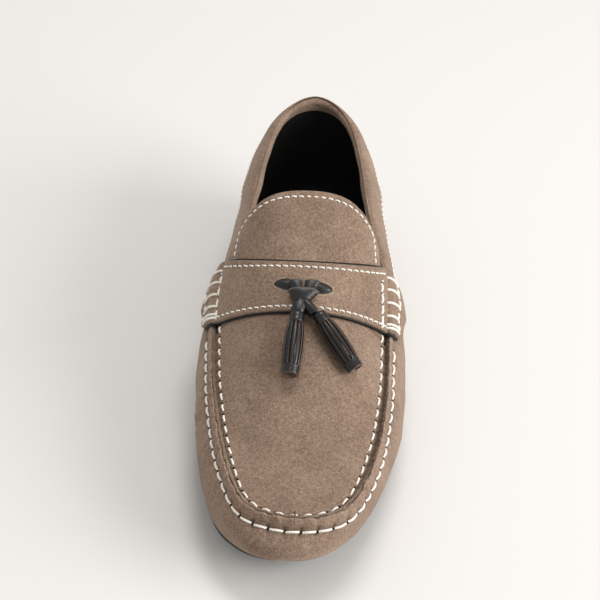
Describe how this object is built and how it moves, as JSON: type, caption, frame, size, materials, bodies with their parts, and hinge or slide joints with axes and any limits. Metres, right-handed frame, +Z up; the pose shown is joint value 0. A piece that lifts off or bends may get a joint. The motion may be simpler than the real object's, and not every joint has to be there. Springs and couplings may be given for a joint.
{
  "type": "tassel loafer",
  "caption": "Left-foot driving loafer in suede: hollow moccasin upper with sewn ridge, strap, tongue and tassels on a thin rubber sole.",
  "frame": {"origin": "centre of the bounding box in plan, at the height of the floor", "axes": "+Z up, the toe points to -Y and the heel to +Y, the inner (medial) side of the foot is -X"},
  "size_m": [0.0984, 0.2857, 0.1023],
  "materials": {
    "outsole": "matte black moulded rubber",
    "insole": "black smooth leather",
    "upper": "taupe-brown suede, black lining",
    "tongue": "taupe-brown suede, black lining",
    "strap": "taupe-brown suede, black edge",
    "collar_band": "taupe-brown suede, black edge",
    "lace_knot": "black smooth leather lace",
    "tassels": "black smooth leather with raw brown cut edges"
  },
  "bodies": {
    "root": {"outsole": "outsole", "insole": "insole", "upper": "upper", "tongue": "tongue", "strap": "strap", "collar_band": "collar_band", "lace_knot": "lace_knot", "tassel_medial": "tassels", "tassel_lateral": "tassels"}
  },
  "joints": []
}
